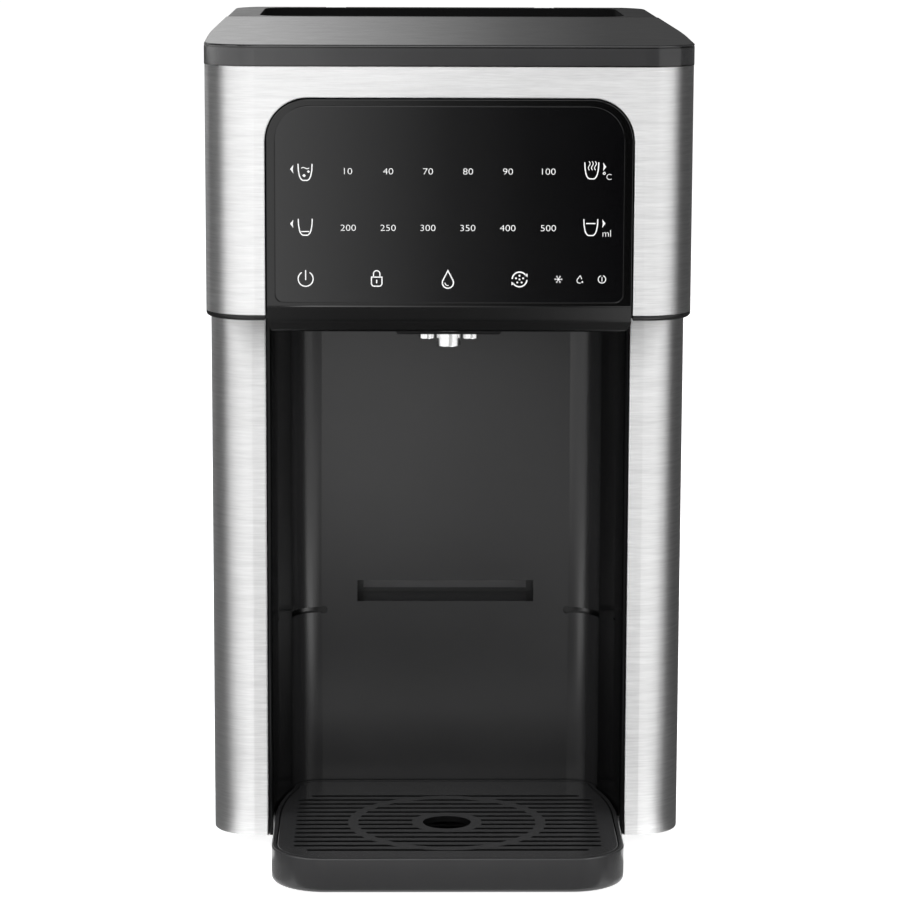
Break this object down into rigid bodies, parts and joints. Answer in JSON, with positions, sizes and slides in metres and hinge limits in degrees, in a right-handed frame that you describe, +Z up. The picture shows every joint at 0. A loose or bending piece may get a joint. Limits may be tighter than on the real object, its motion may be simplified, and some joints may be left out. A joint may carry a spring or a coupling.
{
  "type": "countertop water dispenser",
  "caption": "Countertop hot and cold water dispenser with a steel head, touch panel, spouts over a cup alcove, pull-out drip tray and a lift-off rear tank with hinged lid.",
  "frame": {"origin": "bottom centre of the bounding box, on the worktop plane under the feet", "axes": "-Y is the front with the spouts, +X is to the right as seen from the front, +Z is up"},
  "size_m": [0.2352, 0.45, 0.396],
  "materials": {
    "brushed_steel": "horizontal brushing",
    "gloss_black": "piano black",
    "panel_glass": "black backed touch panel",
    "diffuser": "milky",
    "circuit_board": "solder mask",
    "zinc_steel": "zinc plated",
    "charcoal_plastic": "satin moulded",
    "satin_black": "fine satin texture",
    "chrome": "polished",
    "rubber": "matte",
    "aluminium": "mill",
    "smoke_clear": "smoky clear",
    "silicone": "translucent silicone",
    "white_plastic": "moulded",
    "foam": "closed cell foam",
    "ceramic_white": "ceramic plate"
  },
  "bodies": {
    "housing": {"head_wrap": "brushed_steel", "left_side_panel": "brushed_steel", "right_side_panel": "brushed_steel", "control_fascia": "gloss_black", "touch_glass": "panel_glass", "key_light_guide": "diffuser", "touch_board": "circuit_board", "touch_board_screws": "zinc_steel", "head_base": "charcoal_plastic", "top_cover": "charcoal_plastic", "nozzle_block": "satin_black", "center_spout": "chrome", "side_spouts": "chrome", "alcove_cheek_left": "gloss_black", "alcove_cheek_right": "gloss_black", "alcove_back_panel": "satin_black", "base_plate": "satin_black", "rubber_feet": "rubber", "base_screws": "zinc_steel", "frame_posts": "aluminium", "rear_base": "charcoal_plastic", "tank_shelf": "charcoal_plastic", "rear_bulkhead": "charcoal_plastic", "cord_gland": "rubber", "tank_dock": "satin_black", "pump_motor": "zinc_steel", "pump_head": "satin_black", "flow_meter_body": "white_plastic", "flow_meter_cap": "white_plastic", "cold_tank": "brushed_steel", "cold_insulation": "foam", "peltier_module": "ceramic_white", "heat_sink": "aluminium", "fan_frame": "satin_black", "heater_tube": "brushed_steel", "heater_caps": "white_plastic", "heater_bracket": "zinc_steel", "power_board": "circuit_board", "hot_valve": "white_plastic", "cold_valve": "white_plastic", "tee_fitting": "white_plastic", "supply_hoses": "silicone", "outlet_hoses": "silicone"},
    "tray": {"drip_tray": "satin_black"},
    "grid": {"drip_grid": "satin_black"},
    "tank": {"water_tank": "smoke_clear", "tank_valve_body": "white_plastic", "tank_valve_cap": "white_plastic", "valve_spring": "zinc_steel", "spigot_o_ring": "rubber", "lid_hinge_pin": "zinc_steel"},
    "lid": {"tank_lid": "charcoal_plastic", "lid_gasket": "silicone"},
    "filter": {"filter_cartridge": "white_plastic"},
    "poppet": {"valve_poppet": "white_plastic"},
    "fan": {"fan_rotor": "satin_black"},
    "pump_shaft": {"pump_rotor": "zinc_steel"},
    "flow_wheel": {"flow_meter_rotor": "satin_black"},
    "hot_plunger": {"hot_valve_plunger": "zinc_steel"},
    "cold_plunger": {"cold_valve_plunger": "zinc_steel"}
  },
  "joints": [
    {"name": "tray_slide", "type": "slide", "parent": "housing", "child": "tray", "axis": [0, -1, 0], "range_m": [0, 0.17]},
    {"name": "grid_lift", "type": "slide", "parent": "tray", "child": "grid", "axis": [0, 0, 1], "range_m": [0, 0.05]},
    {"name": "tank_lift", "type": "slide", "parent": "housing", "child": "tank", "axis": [0, 0, 1], "range_m": [0, 0.28]},
    {"name": "lid_hinge", "type": "hinge", "parent": "tank", "child": "lid", "pos_m": [0, 0.219, 0.39], "axis": [-1, 0, 0], "range_deg": [0, 95]},
    {"name": "filter_twist", "type": "hinge", "parent": "tank", "child": "filter", "pos_m": [0, 0.16, 0.17], "axis": [0, 0, 1], "range_deg": [0, 90]},
    {"name": "poppet_slide", "type": "slide", "parent": "tank", "child": "poppet", "axis": [0, 0, 1], "range_m": [0, 0.0015], "stiffness_N_per_m": 150, "springref_m": -0.004, "deforming": ["valve_spring"]},
    {"name": "fan_spin", "type": "hinge", "parent": "housing", "child": "fan", "pos_m": [0.047, 0.068, 0.066], "axis": [0, 1, 0], "continuous": true},
    {"name": "pump_spin", "type": "hinge", "parent": "housing", "child": "pump_shaft", "pos_m": [-0.062, 0.15, 0.044], "axis": [0, 1, 0], "continuous": true},
    {"name": "flow_spin", "type": "hinge", "parent": "housing", "child": "flow_wheel", "pos_m": [0, 0.19, 0.027], "axis": [0, 0, 1], "continuous": true},
    {"name": "hot_plunger_slide", "type": "slide", "parent": "housing", "child": "hot_plunger", "axis": [0, 0, 1], "range_m": [0, 0.0025], "stiffness_N_per_m": 200, "springref_m": -0.003},
    {"name": "cold_plunger_slide", "type": "slide", "parent": "housing", "child": "cold_plunger", "axis": [0, 0, 1], "range_m": [0, 0.0025], "stiffness_N_per_m": 200, "springref_m": -0.003}
  ]
}
